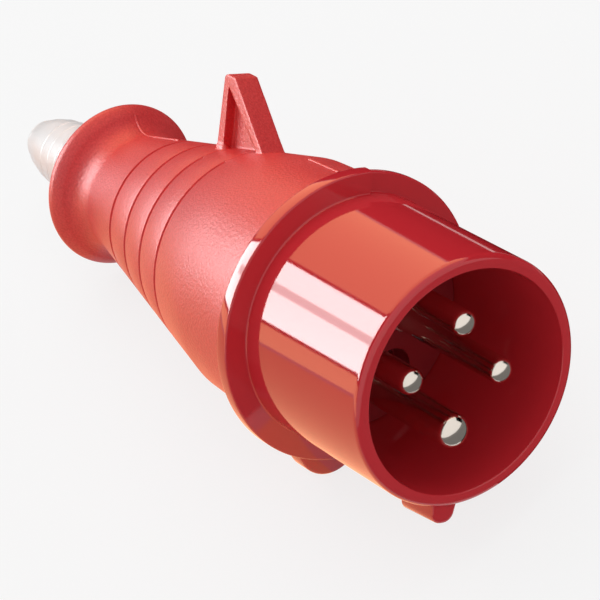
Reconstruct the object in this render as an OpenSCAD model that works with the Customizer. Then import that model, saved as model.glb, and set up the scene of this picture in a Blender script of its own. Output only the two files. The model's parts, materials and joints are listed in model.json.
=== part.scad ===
// Industrial pin and sleeve plug, three phases and earth, for a flexible cable.
// Every piece is drawn standing on its mating rim: X points to twelve o'clock,
// Y to the right of someone who faces the pins, and Z is the depth behind the rim.
// resting() then lays the plug down on its collar, its screw lug and its flare.

/* [Shroud] */
// Outer diameter of the shroud that enters the socket
shroud_d = 57.5; // [54:0.1:70]
// Thickness of the shroud wall
shroud_wall = 3.1; // [2.4:0.1:3.6]
// Length of the shroud from its rim to the collar
shroud_len = 42.4; // [36:0.1:51]
// Rounding of the rim's outer edge
rim_round = 1.7; // [0.8:0.1:2.2]
// Depth from the rim to the face of the pin carrier
well_depth = 39.5; // [34:0.1:40]

/* [Key and collar] */
// Width of the key rib at the shroud wall
key_width = 6.9; // [5:0.1:8]
// Length of the key rib along the shroud
key_len = 12; // [8:0.1:15]
// Height of the key rib above the shroud at its front end
key_height = 4.5; // [3:0.1:5.5]
// Rise of the key rib's crest from its front end to its rear end
key_rise = 1; // [0:0.1:1.5]
// Rise of the collar above the shroud's wall
collar_rise = 5.45; // [4.6:0.05:9]
// Thickness of the collar
collar_t = 3.6; // [3:0.1:5]
// Depth of the relief on the collar's front, beside twelve o'clock
relief_depth = 1.6; // [0.6:0.1:2]
// Sweep of that relief, in degrees
relief_sweep = 75; // [50:1:85]

/* [Pins] */
// Diameter of the phase pins
phase_pin_d = 6; // [5:0.1:7.2]
// Diameter of the earth pin
earth_pin_d = 8; // [7:0.1:8.4]
// Diameter of the circle that the pins stand on
pin_circle_d = 24.1; // [22:0.1:25]
// Depth of the phase pins' tips behind the rim
phase_tip_depth = 2.3; // [1.5:0.1:6]
// Depth of the earth pin's tip behind the rim
earth_tip_depth = 0.2; // [0.1:0.1:3]
// Height of a pin's domed tip as a share of the pin's radius
dome_share = 0.77; // [0.5:0.01:0.95]

/* [Handle] */
// Step from the shroud's wall out to the handle behind the collar
handle_step = 1.75; // [1.5:0.05:3.5]
// Draft of the straight stretch: how much its radius falls up to the cone
barrel_draft = 1; // [0.6:0.05:1.5]
// Length of the straight front stretch of the handle
barrel_len = 23; // [20:0.1:28]
// Length of the handle from the collar to the end of its flare
handle_len = 98.9; // [94:0.1:124]
// Wall round the sleeve's passage at the neck, in front of the flare
neck_wall = 4.25; // [3.4:0.05:6]
// Wall thickness of the handle
handle_wall = 2.9; // [2.2:0.1:3.2]
// Rise of the flare's lip above the neck
flare_rise = 5.45; // [4.4:0.05:6.6]
// Radius of the hollow curve in front of the flare
flare_curve = 6.8; // [5:0.1:8]
// Number of grip grooves round the cone
groove_count = 4; // [0:1:4]
// Distance from one grip groove to the next
groove_pitch = 10.55; // [8:0.05:11]
// Width of a grip groove
groove_width = 1.1; // [0.6:0.1:2]
// Depth of a grip groove
groove_depth = 0.7; // [0.3:0.1:1]
// Height of the raised parting line at twelve o'clock
seam_height = 0.3; // [0.2:0.05:0.6]
// Width of the raised parting line
seam_width = 0.8; // [0.4:0.1:1.5]

/* [Fin] */
// Thickness of the fin on top of the handle
fin_t = 6.4; // [5:0.1:8]
// Height of the fin's flat top above the straight stretch of the handle
fin_height = 11.4; // [7:0.1:14]
// Length of the fin's flat top
fin_top_len = 4.3; // [3:0.1:6]
// Width of the fin's rim around its recess
fin_rim = 2.7; // [2:0.1:3.5]
// Thickness of the web between the two recesses
fin_web = 1; // [0.8:0.1:3]

/* [Lug] */
// Diameter of the screw lug at six o'clock
lug_d = 17; // [15:0.1:20]
// Distance of the lug's centre inside the handle's surface
lug_sink = 0.1; // [0:0.1:1]
// Length of the lug's half on the handle before it tapers
lug_len = 6; // [4:0.1:10]
// Diameter of the housing screw's thread
housing_screw_d = 4; // [3:0.1:4.5]

/* [Cable sleeve] */
// Length of the sleeve that stands out behind the flare
sleeve_out = 36.6; // [28:0.1:60]
// Outer diameter of the sleeve where it leaves the flare
sleeve_d = 21.2; // [19:0.1:25.6]
// Outer diameter of the sleeve at its tip
sleeve_tip_d = 11.2; // [10:0.1:14]
// Wall thickness of the sleeve
sleeve_wall = 1.8; // [1.2:0.1:2.4]
// Diameter of the opening in the sleeve's tip
entry_d = 7.2; // [5:0.1:8]
// Diameter of the hole in the rubber cable seal
seal_bore_d = 14; // [10:0.1:16]

/* [Hidden] */

$fn = 72;
e = 0.1;

// Clearances: a sliding fit, a seated fit and a fit round a metal piece.
slide_gap = 0.2;
seat_gap = 0.25;
metal_gap = 0.05;

// Colours
shell_red = [0.80, 0.19, 0.15];
carrier_red = [0.62, 0.11, 0.12];
plated = [0.78, 0.77, 0.74];
brass_yellow = [0.80, 0.66, 0.36];
steel_grey = [0.70, 0.71, 0.73];
seal_black = [0.12, 0.12, 0.13];
sleeve_white = [0.93, 0.92, 0.90];

// Clock angles, in degrees from twelve o'clock towards the right
TOP = 0;
RIGHT = 90;
BOTTOM = 180;
LEFT = 270;

// Shroud and the spigot behind its collar
shroud_r = shroud_d / 2;
handle_r = shroud_r + handle_step;
well_r = shroud_r - shroud_wall;
collar_r = shroud_r + collar_rise;
collar_back = shroud_len + collar_t;
collar_round = 0.5;
spigot_len = 12;
spigot_inset = 2.5;
spigot_r = handle_r - spigot_inset;
spigot_wall = 1.6;
spigot_end = collar_back + spigot_len;
carrier_lip_len = 3.5;
ledge_depth = well_depth + carrier_lip_len;
nest_r = spigot_r - spigot_wall;
relief_rim = 0.6;

// Key rib
key_tip_round = 2.5;
key_flank = 0.85;

// Handle
socket_r = spigot_r + slide_gap;
cone_r = handle_r - barrel_draft;
cone_start = collar_back + barrel_len;
hall_r = cone_r - handle_wall;
lip_round = 1.7;
lip_back = 2.2;
neck_r = sleeve_d / 2 + slide_gap + neck_wall;
lip_r = neck_r + flare_rise;
flare_end = collar_back + handle_len;
flare_centre = flare_end - lip_round - flare_curve - lip_back;
cone_slope = (cone_r - neck_r) / (flare_centre - cone_start);
cone_angle = atan(cone_slope);
first_groove = cone_start + 16.6;
bell_r = 5.8;
gasket_t = 1.5;

// Parting line: its two stretches
barrel_seam_from = collar_back + 9;
barrel_seam_to = cone_start - 2.5;
tail_seam_from = flare_centre - 14.4;
tail_seam_to = flare_end - 3.8;

// Fin
fin_top = cone_r + fin_height;
fin_toe = cone_start + 10.8;
fin_back = cone_start + 30.3;
fin_corner = 1.2;
fin_root = 1;
recess_front = cone_start + 14.5;
recess_floor = 0.3;
foot_r = 1.1;

// Carrier, its cover and the screws that hold them to the handle
carrier_r = well_r - seat_gap;
carrier_flange_r = nest_r - slide_gap;
carrier_flange_t = 7;
carrier_back = ledge_depth + carrier_flange_t;
cover_t = 3;
cover_back = carrier_back + cover_t;
column_len = 17;
column_end = cover_back + column_len;
column_r = 3.9;
partition_t = 2;
carrier_screw_r = 2;
carrier_screw_reach = 15.95;
carrier_screw_angle = 138.8;
carrier_recess_r = 4.7;
carrier_recess_depth = 6;
carrier_screw_len = 36;
boss_r = 4.2;
boss_len = 14;

// Pins
pin_reach = pin_circle_d / 2;
pin_base_extra = 0.4;
pin_flange_extra = 2.4;
pin_flange_t = 3;
barrel_extra = 1.5;
terminal_len = 16;
terminal_back = carrier_back + terminal_len;
wire_bore_share = 0.52;
wire_bore_len = 12;
terminal_screw_r = 2;
terminal_screw_depth = carrier_back + 10;
terminal_head_r = 3.4;
terminal_head_t = 2.2;

// Housing screw, lug and insert
lug_r = lug_d / 2;
lug_reach = handle_r - lug_sink;
lug_setback = 2.4;
lug_overlap = 4;
lug_front = shroud_len + lug_setback;
lug_split = collar_back + lug_overlap;
lug_back = lug_split + lug_len;
lug_taper_len = 8;
lug_taper = 2;
lug_step = 0.9;
handle_lug_r = lug_r - lug_step;
lug_taper_r = handle_lug_r - lug_taper;
housing_screw_r = housing_screw_d / 2;
housing_screw_offset = 1.8;
housing_screw_reach = lug_reach + housing_screw_offset;
insert_wall = 0.9;
insert_floor = 1.4;
insert_r = housing_screw_r + insert_wall;
insert_len = lug_split - lug_front - insert_floor;
head_ratio = 1.8;
head_r = housing_screw_r * head_ratio;
head_t = 2.4;
head_floor = 3;
head_seat = lug_back + head_floor;

// Cable passage
sleeve_r = sleeve_d / 2;
sleeve_tip = flare_end + sleeve_out;
passage_r = sleeve_r + slide_gap;
pocket_step = 1.6;
pocket_r = passage_r + pocket_step;
insert_gap = 0.3;
stack_r = pocket_r - insert_gap;
passage_len = 16.8;
pocket_len = 17;
pocket_back = flare_end - passage_len;
pocket_front = pocket_back - pocket_len;
sleeve_flange_t = 2.5;
ring_plug_len = 3;
ring_t = 3;
ring_r = cone_inner(pocket_front) - slide_gap;
seal_front = pocket_front + ring_plug_len;
seal_back = pocket_back - sleeve_flange_t;
pressure_screw_r = 1.5;
pressure_screw_len = 12;
pressure_head_r = 2.5;
pressure_screw_reach = min(
    (pocket_r + ring_r) / 2 + 2 * metal_gap,
    cone_inner(pocket_front - ring_t) - pressure_head_r - metal_gap
);
pressure_head_t = 2.2;

// How the plug lies: down is towards rest_roll past six o'clock.
rest_pitch = atan((collar_r - lip_r) / (flare_end - lip_round - collar_back));
rest_roll = max(lug_roll(lug_split, lug_r), lug_roll(lug_back, handle_lug_r));
rest_height = collar_r * cos(rest_pitch) + collar_back * sin(rest_pitch);
rest_nose = shroud_r * sin(rest_pitch);
rest_tail = sleeve_tip * cos(rest_pitch);
rest_shift = (rest_tail - rest_nose) / 2;

// Roll at which a lug of a radius touches the ground at a depth behind the rim
function lug_roll(depth, radius) =
    acos((collar_r - (depth - collar_back) * tan(rest_pitch) - radius) / lug_reach);

// Radius of the cone, outside and inside, at a depth behind the rim
function cone_outer(depth) = cone_r - cone_slope * (depth - cone_start);
function cone_inner(depth) = min(hall_r, cone_outer(depth) - handle_wall);

// Points of an arc round [r, z], from one angle to another
function arc(centre, radius, from, to, steps = 8) = [
    for (i = [0 : steps])
        let (a = from + (to - from) * i / steps)
        [centre[0] + radius * cos(a), centre[1] + radius * sin(a)]
];

// The four corners of one grip groove, from its front edge to its rear edge
function groove(depth) = [
    [cone_outer(depth - groove_width / 2), depth - groove_width / 2],
    [cone_outer(depth) - groove_depth, depth - groove_width / 5],
    [cone_outer(depth) - groove_depth, depth + groove_width / 5],
    [cone_outer(depth + groove_width / 2), depth + groove_width / 2]
];

// Outer side of the handle, from the collar to the rear of its lip
function handle_side(raise = 0) =
    let (
        start = flare_centre - flare_curve * sin(cone_angle),
        hollow = [cone_outer(start) + flare_curve * cos(cone_angle), flare_centre],
        lip = [lip_r - lip_round, flare_end - lip_round]
    )
    [for (p = concat(
        [[handle_r, collar_back], [cone_r, cone_start]],
        [for (i = [0 : 1 : groove_count - 1]) each groove(first_groove + i * groove_pitch)],
        arc(hollow, flare_curve, 180 + cone_angle, 118, 10),
        arc(lip, lip_round, -45, 90, 8)
    )) [p[0] + raise, p[1]]];

// A turned piece: the outline is a list of [radius, depth]
module turned(outline) {
    rotate_extrude() polygon(outline);
}

// Puts a piece at a clock angle and a distance from the axis
module at_clock(angle, reach, depth = 0) {
    rotate([0, 0, angle]) translate([reach, 0, depth]) children();
}

// Lays the standing plug down as it comes to rest
module resting() {
    translate([rest_shift, 0, rest_height])
        rotate([0, -rest_pitch, 0])
        rotate([-rest_roll, 0, 0])
        rotate([0, -90, 0])
        children();
}

// A screw whose head's seat is at z = 0, with a cross recess in its head
module screw(radius, length, head_radius, head_height) {
    slot = head_radius * 0.28;
    difference() {
        union() {
            cylinder(h = length, r = radius);
            translate([0, 0, -head_height])
                turned([
                    [0, 0],
                    [head_radius * 0.72, 0],
                    [head_radius * 0.93, head_height * 0.25],
                    [head_radius, head_height * 0.6],
                    [head_radius, head_height],
                    [0, head_height]
                ]);
        }
        for (turn = [0, 90])
            rotate([0, 0, turn])
            translate([-head_radius * 0.6, -slot / 2, -head_height - e])
            cube([head_radius * 1.2, slot, head_height * 0.6 + e]);
    }
}

// Outline of the key rib, standing up along X on the shroud's wall
module key_outline() {
    crest = shroud_r + key_height + key_rise;
    half_base = key_width / 2;
    half_top = half_base * key_flank;
    round_r = min(key_tip_round, half_top - e);
    polygon(concat(
        [[shroud_r - shroud_wall / 2, -half_base]],
        arc([crest - round_r, -(half_top - round_r)], round_r, -90, 0, 6),
        arc([crest - round_r, half_top - round_r], round_r, 0, 90, 6),
        [[shroud_r - shroud_wall / 2, half_base]]
    ));
}

module key_rib() {
    lean = atan(key_rise / key_len);
    intersection() {
        rotate([0, 0, BOTTOM])
            translate([-key_rise, 0, rim_round])
            rotate([0, lean, 0])
            translate([0, 0, -key_len])
            linear_extrude(3 * key_len)
            key_outline();
        translate([0, 0, rim_round])
            cylinder(h = key_len, r = 2 * shroud_r);
    }
}

module collar_relief() {
    low = shroud_len - e;
    rotate_extrude(angle = relief_sweep)
        polygon([
            [shroud_r + e / 10, low],
            [collar_r + 1, low],
            [collar_r + 1, collar_back + e],
            [collar_r - relief_rim, collar_back + e],
            [collar_r - relief_rim, shroud_len + relief_depth],
            [shroud_r + e / 10, shroud_len + relief_depth]
        ]);
}

module shroud_lug() {
    at_clock(BOTTOM, lug_reach, lug_front)
        cylinder(h = lug_split - lug_front, r = lug_r);
}

module front_shroud() {
    outline = concat(
        [[0, 0]],
        arc([shroud_r - rim_round, rim_round], rim_round, -90, 0),
        [
            [shroud_r, shroud_len],
            [collar_r - collar_round, shroud_len],
            [collar_r, shroud_len + collar_round],
            [collar_r, collar_back - collar_round],
            [collar_r - collar_round, collar_back],
            [spigot_r, collar_back],
            [spigot_r, spigot_end],
            [0, spigot_end]
        ]
    );
    color(shell_red)
    resting()
    difference() {
        union() {
            difference() {
                turned(outline);
                collar_relief();
            }
            key_rib();
            shroud_lug();
        }
        translate([0, 0, -e]) cylinder(h = spigot_end, r = well_r);
        translate([0, 0, ledge_depth]) cylinder(h = spigot_end, r = nest_r);
        at_clock(BOTTOM, housing_screw_reach, lug_split - insert_len)
            cylinder(h = insert_len + e, r = insert_r + metal_gap);
    }
}

// The hollow of the handle, from its mouth to the hole for the sleeve
module handle_hollow() {
    turned(concat(
        [
            [0, collar_back - e],
            [socket_r, collar_back - e],
            [socket_r, spigot_end + gasket_t],
            [hall_r, spigot_end + gasket_t],
            [hall_r, cone_start],
            [cone_inner(pocket_front), pocket_front],
            [pocket_r, pocket_front],
            [pocket_r, pocket_back],
            [passage_r, pocket_back]
        ],
        arc([passage_r + bell_r, flare_end - bell_r], bell_r, 180, 90, 8),
        [
            [passage_r + bell_r, flare_end + e],
            [0, flare_end + e]
        ]
    ));
}

// Posts inside the handle that take the carrier screws, each on a rib
module carrier_posts() {
    for (side = [0, 180])
        at_clock(carrier_screw_angle + side, carrier_screw_reach, column_end)
        difference() {
            union() {
                cylinder(h = boss_len, r = boss_r);
                translate([0, -partition_t / 2, 0])
                    cube([cone_inner(column_end) - carrier_screw_reach + 1, partition_t, boss_len]);
            }
            translate([0, 0, -e])
                cylinder(h = boss_len, r = carrier_screw_r + metal_gap);
        }
}

module fin() {
    toe_height = cone_outer(fin_toe) - fin_root;
    root_height = cone_inner(fin_back) + fin_root;
    nose = fin_back - fin_top_len;
    slope = atan((fin_top - toe_height) / (nose - fin_toe));
    linear_extrude_side(fin_t)
        polygon(concat(
            [[toe_height, fin_toe]],
            arc([fin_top - fin_corner, nose + fin_corner * tan(slope / 2)], fin_corner, -slope, 0, 4),
            arc([fin_top - fin_corner, fin_back - fin_corner], fin_corner, 0, 90, 4),
            [[root_height, fin_back], [root_height, fin_toe + 4 * fin_root]]
        ));
}

// A rounded foot at the root of the fin's rear rim, on the side named by +1 or -1
module fin_foot(side) {
    height = cone_outer(fin_back - fin_rim / 2) + foot_r / 5;
    translate([height, side * (fin_t - foot_r) / 2, fin_back - fin_rim]) {
        cylinder(h = fin_rim - recess_floor, r = foot_r);
        sphere(r = foot_r);
    }
}

// Extrudes an outline of [height, depth] sideways, on both sides of twelve o'clock
module linear_extrude_side(thickness) {
    translate([0, thickness / 2, 0])
        rotate([90, 0, 0])
        linear_extrude(thickness)
        children();
}

// One of the two recesses beside the fin's web, on the side named by +1 or -1
module fin_recess(side) {
    back = fin_back - fin_rim;
    depth = (fin_t - fin_web) / 2;
    translate([0, side * (fin_web + depth + e) / 2, 0])
        linear_extrude_side(depth + e)
        polygon([
            [cone_outer(recess_front) + recess_floor, recess_front],
            [fin_top - fin_rim, back + 2 * recess_floor],
            [cone_outer(back) + recess_floor, back]
        ]);
}

// Raised parting line along the barrel and along the tail
module seam(from, to) {
    intersection() {
        linear_extrude_side(seam_width)
            polygon(concat(
                [[0, collar_back]],
                handle_side(seam_height),
                [[0, flare_end]]
            ));
        translate([0, -seam_width, from])
            cube([collar_r, 2 * seam_width, to - from]);
    }
}

module handle_lug() {
    at_clock(BOTTOM, lug_reach, lug_split) {
        cylinder(h = lug_len, r = handle_lug_r);
        translate([0, 0, lug_len])
            cylinder(h = lug_taper_len, r1 = handle_lug_r, r2 = lug_taper_r);
    }
}

module handle_body() {
    color(shell_red)
    resting()
    difference() {
        union() {
            difference() {
                union() {
                    turned(concat([[0, collar_back]], handle_side(), [[0, flare_end]]));
                    fin();
                    fin_foot(1);
                    fin_foot(-1);
                    seam(barrel_seam_from, barrel_seam_to);
                    seam(tail_seam_from, tail_seam_to);
                    handle_lug();
                }
                handle_hollow();
                fin_recess(1);
                fin_recess(-1);
            }
            intersection() {
                carrier_posts();
                turned([
                    [0, column_end - e],
                    [cone_outer(column_end) - 1, column_end - e],
                    [cone_outer(column_end + boss_len + e) - 1, column_end + boss_len + e],
                    [0, column_end + boss_len + e]
                ]);
            }
        }
        // Room for the shroud's half of the lug
        at_clock(BOTTOM, lug_reach, collar_back - e)
            cylinder(h = lug_split - collar_back + e, r = lug_r + slide_gap);
        // Hole and head recess of the housing screw
        at_clock(BOTTOM, housing_screw_reach, lug_split - e)
            cylinder(h = lug_len + lug_taper_len, r = housing_screw_r + metal_gap);
        at_clock(BOTTOM, housing_screw_reach, head_seat)
            cylinder(h = lug_back + lug_taper_len - head_seat + 4, r = head_r + slide_gap);
        // Holes of the two pressure screws
        for (side = [RIGHT, LEFT])
            at_clock(side, pressure_screw_reach, pocket_front - e)
            cylinder(h = pressure_screw_len, r = pressure_screw_r + metal_gap);
    }
}

module housing_gasket() {
    color(seal_black)
    resting()
    translate([0, 0, spigot_end])
    difference() {
        cylinder(h = gasket_t, r = spigot_r);
        translate([0, 0, -e]) cylinder(h = gasket_t + 2 * e, r = hall_r + metal_gap);
    }
}

module housing_screw() {
    color(steel_grey)
    resting()
    at_clock(BOTTOM, housing_screw_reach, head_seat)
    mirror([0, 0, 1])
    screw(housing_screw_r, head_seat - lug_split + insert_len - 0.5, head_r, head_t);
}

module housing_insert() {
    color(brass_yellow)
    resting()
    at_clock(BOTTOM, housing_screw_reach, lug_split - insert_len)
    difference() {
        cylinder(h = insert_len, r = insert_r);
        translate([0, 0, -e]) cylinder(h = insert_len + 2 * e, r = housing_screw_r + metal_gap);
    }
}

// Cuts the two carrier screws' holes
module carrier_screw_holes(from, to, radius) {
    for (side = [0, 180])
        at_clock(carrier_screw_angle + side, carrier_screw_reach, from)
        cylinder(h = to - from, r = radius);
}

// Calls its child at each of the four pins, with the pin's diameter in $pin_d
module each_pin() {
    for (angle = [TOP, RIGHT, BOTTOM, LEFT])
        let ($pin_d = angle == BOTTOM ? earth_pin_d : phase_pin_d)
        at_clock(angle, pin_reach)
        children();
}

module pin_carrier() {
    color(carrier_red)
    resting()
    difference() {
        turned([
            [0, well_depth],
            [carrier_r, well_depth],
            [carrier_r, ledge_depth],
            [carrier_flange_r, ledge_depth],
            [carrier_flange_r, carrier_back],
            [0, carrier_back]
        ]);
        each_pin() {
            translate([0, 0, well_depth - e])
                cylinder(h = carrier_back, r = $pin_d / 2 + pin_base_extra + metal_gap);
            translate([0, 0, carrier_back - pin_flange_t])
                cylinder(h = pin_flange_t + e, r = $pin_d / 2 + pin_flange_extra + metal_gap);
        }
        carrier_screw_holes(well_depth - e, carrier_back + e, carrier_screw_r + metal_gap);
        carrier_screw_holes(well_depth - e, well_depth + carrier_recess_depth, carrier_recess_r);
    }
}

module carrier_cover() {
    color(carrier_red)
    resting()
    difference() {
        union() {
            translate([0, 0, carrier_back]) cylinder(h = cover_t, r = carrier_flange_r);
            for (turn = [45, 135])
                rotate([0, 0, turn])
                translate([-nest_r * 0.86, -partition_t / 2, carrier_back + e])
                cube([nest_r * 1.72, partition_t, column_end - carrier_back - e]);
            carrier_screw_holes(carrier_back + e, column_end, column_r);
        }
        each_pin()
            translate([0, 0, carrier_back - e])
            cylinder(h = cover_t + 2 * e, r = $pin_d / 2 + barrel_extra + metal_gap);
        carrier_screw_holes(carrier_back - e, column_end + e, carrier_screw_r + metal_gap);
    }
}

module carrier_screw(side) {
    color(steel_grey)
    resting()
    at_clock(carrier_screw_angle + side, carrier_screw_reach, well_depth + carrier_recess_depth)
    screw(carrier_screw_r, carrier_screw_len, carrier_screw_r * 1.8, 2.4);
}

module carrier_screw_right() {
    carrier_screw(0);
}

module carrier_screw_left() {
    carrier_screw(180);
}

// A pin with its domed tip, the flange that the carrier traps and its terminal
module pin(diameter, tip_depth) {
    r = diameter / 2;
    dome = r * dome_share;
    barrel_r = r + barrel_extra;
    difference() {
        turned(concat(
            [for (i = [0 : 10]) [r * sin(9 * i), tip_depth + dome * (1 - cos(9 * i))]],
            [
                [r, well_depth],
                [r + pin_base_extra, well_depth],
                [r + pin_base_extra, carrier_back - pin_flange_t],
                [r + pin_flange_extra, carrier_back - pin_flange_t],
                [r + pin_flange_extra, carrier_back],
                [barrel_r, carrier_back],
                [barrel_r, terminal_back - 0.5],
                [barrel_r - 0.5, terminal_back],
                [0, terminal_back]
            ]
        ));
        translate([0, 0, terminal_back - wire_bore_len])
            cylinder(h = wire_bore_len + e, r = barrel_r * wire_bore_share);
        translate([0, 0, terminal_screw_depth])
            rotate([0, 90, 0])
            cylinder(h = 2 * barrel_r, r = terminal_screw_r + metal_gap);
    }
}

module phase_pin(angle) {
    color(plated)
    resting()
    at_clock(angle, pin_reach)
    pin(phase_pin_d, phase_tip_depth);
}

module phase_pin_top() {
    phase_pin(TOP);
}

module phase_pin_right() {
    phase_pin(RIGHT);
}

module phase_pin_left() {
    phase_pin(LEFT);
}

module earth_pin() {
    color(plated)
    resting()
    at_clock(BOTTOM, pin_reach)
    pin(earth_pin_d, earth_tip_depth);
}

// A terminal screw, driven inwards from outside the ring of pins
module terminal_screw(angle, diameter) {
    barrel_r = diameter / 2 + barrel_extra;
    color(steel_grey)
    resting()
    at_clock(angle, pin_reach + barrel_r + 0.3, terminal_screw_depth)
    rotate([0, -90, 0])
    screw(terminal_screw_r, barrel_r + 0.3, terminal_head_r, terminal_head_t);
}

module terminal_screw_top() {
    terminal_screw(TOP, phase_pin_d);
}

module terminal_screw_right() {
    terminal_screw(RIGHT, phase_pin_d);
}

module terminal_screw_left() {
    terminal_screw(LEFT, phase_pin_d);
}

module terminal_screw_earth() {
    terminal_screw(BOTTOM, earth_pin_d);
}

// Tapered white sleeve: its flange is trapped in the handle, its tail guides the cable
module cable_sleeve() {
    shoulder = flare_end + 2;
    knee = sleeve_tip - 9.5;
    knee_r = sleeve_tip_d / 2 + 2.7;
    entry_len = 6.5;
    tip_round = 1.2;
    color(sleeve_white)
    resting()
    turned(concat(
        [
            [sleeve_r - sleeve_wall, seal_back],
            [stack_r, seal_back],
            [stack_r, pocket_back],
            [sleeve_r, pocket_back],
            [sleeve_r, shoulder],
            [knee_r, knee],
            [sleeve_tip_d / 2 + 1.5, sleeve_tip - 5]
        ],
        arc([sleeve_tip_d / 2 - tip_round, sleeve_tip - tip_round], tip_round, 0, 90, 4),
        [
            [entry_d / 2, sleeve_tip],
            [entry_d / 2, sleeve_tip - entry_len],
            [knee_r - sleeve_wall - 0.4, knee - 2],
            [sleeve_r - sleeve_wall, shoulder]
        ]
    ));
}

module cable_seal() {
    waist = (seal_front + seal_back) / 2;
    color(seal_black)
    resting()
    turned([
        [seal_bore_d / 2, seal_front],
        [stack_r, seal_front],
        [stack_r, seal_back],
        [seal_bore_d / 2, seal_back],
        [seal_bore_d / 2 + 0.6, waist]
    ]);
}

module pressure_ring() {
    color(carrier_red)
    resting()
    difference() {
        turned([
            [seal_bore_d / 2 + 1, pocket_front - ring_t],
            [ring_r, pocket_front - ring_t],
            [ring_r, pocket_front],
            [stack_r, pocket_front],
            [stack_r, seal_front],
            [seal_bore_d / 2 + 1, seal_front]
        ]);
        for (side = [RIGHT, LEFT])
            at_clock(side, pressure_screw_reach, pocket_front - ring_t - e)
            cylinder(h = ring_t + 2 * e, r = pressure_screw_r + metal_gap);
    }
}

module pressure_screw(angle) {
    color(steel_grey)
    resting()
    at_clock(angle, pressure_screw_reach, pocket_front - ring_t)
    screw(pressure_screw_r, pressure_screw_len + ring_t - 1, pressure_head_r, pressure_head_t);
}

module pressure_screw_right() {
    pressure_screw(RIGHT);
}

module pressure_screw_left() {
    pressure_screw(LEFT);
}

front_shroud();
handle_body();
housing_gasket();
housing_screw();
housing_insert();
pin_carrier();
carrier_cover();
carrier_screw_right();
carrier_screw_left();
phase_pin_top();
phase_pin_right();
phase_pin_left();
earth_pin();
terminal_screw_top();
terminal_screw_right();
terminal_screw_left();
terminal_screw_earth();
cable_sleeve();
cable_seal();
pressure_ring();
pressure_screw_right();
pressure_screw_left();
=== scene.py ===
"""Industrial pin and sleeve plug: detailed mouldings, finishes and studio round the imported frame."""
import json
import math

import bmesh
import bpy
from bpy.props import FloatProperty, FloatVectorProperty, IntProperty, PointerProperty
from mathutils import Matrix, Vector


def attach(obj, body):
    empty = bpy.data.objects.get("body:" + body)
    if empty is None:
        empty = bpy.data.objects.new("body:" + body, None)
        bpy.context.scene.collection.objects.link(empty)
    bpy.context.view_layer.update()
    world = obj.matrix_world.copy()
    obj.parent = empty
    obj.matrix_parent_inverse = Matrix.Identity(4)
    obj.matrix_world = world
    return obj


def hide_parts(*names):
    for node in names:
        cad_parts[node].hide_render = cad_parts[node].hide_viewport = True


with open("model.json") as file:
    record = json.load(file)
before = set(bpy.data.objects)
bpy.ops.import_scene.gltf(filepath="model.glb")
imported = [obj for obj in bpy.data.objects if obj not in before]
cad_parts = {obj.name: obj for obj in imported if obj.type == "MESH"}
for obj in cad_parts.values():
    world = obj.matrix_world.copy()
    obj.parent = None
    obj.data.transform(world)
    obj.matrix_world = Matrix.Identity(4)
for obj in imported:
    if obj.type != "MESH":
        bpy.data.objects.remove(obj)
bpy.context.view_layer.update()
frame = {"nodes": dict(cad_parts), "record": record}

bl_info = {
    "name": "Pin and Sleeve Plug",
    "version": (1, 0, 0),
    "blender": (4, 5, 0),
    "location": "View3D > Sidebar > Plug",
    "description": "Builds the mouldings, finishes and studio of an industrial plug",
    "category": "Object",
}

MM = 0.001
TURN = 2 * math.pi
SMOOTH_ANGLE = math.radians(32)
TINY = 1e-6
ON_AXIS = 1e-9


# ---------------------------------------------------------------- the plug's own frame
def plug_frame():
    """The standing frame: x to twelve o'clock, y to the right facing the pins, z the depth behind the rim."""
    mounts = {m["name"]: m for m in frame["record"]["mounts"]}
    place = {name: Vector(m["pos_m"]) for name, m in mounts.items()}
    forward = Vector(mounts["phase_pin_top"]["axis"]).normalized()
    top = place["phase_pin_top"] - place["earth_pin"]
    top = (top - forward * top.dot(forward)).normalized()
    right = (-forward).cross(top)
    entry = place["cable_entry"]
    rim = entry + forward * (place["mating_rim"] - entry).dot(forward)
    rows = zip(top, right, -forward, rim)
    return Matrix([list(row) for row in rows] + [[0, 0, 0, 1]])


PLUG = plug_frame()
TOP, RIGHT, BOTTOM, LEFT = 0.0, 90.0, 180.0, 270.0


def plug_point(reach, clock, depth):
    """A point in the standing frame, by its distance from the axis, clock angle and depth."""
    angle = math.radians(clock)
    return Vector((reach * math.cos(angle), reach * math.sin(angle), depth))


# ---------------------------------------------------------------- settings
def in_mm(name, description, millimetres):
    """A length whose default is given in millimetres."""
    return FloatProperty(name=name, description=description, default=millimetres * MM, unit="LENGTH")


def plain(name, description, value):
    """A number without a unit: a share, an angle in degrees or the strength of a light."""
    return FloatProperty(name=name, description=description, default=value)


def paint(description, value):
    """The colour of a finish."""
    return FloatVectorProperty(name="Colour", description=description, subtype="COLOR", default=value)


def three(name, description, value, subtype="NONE"):
    """A point or a direction in the plug's frame: ahead of the rim, right, above the axis."""
    return FloatVectorProperty(name=name, description=description, subtype=subtype, default=value)


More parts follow.
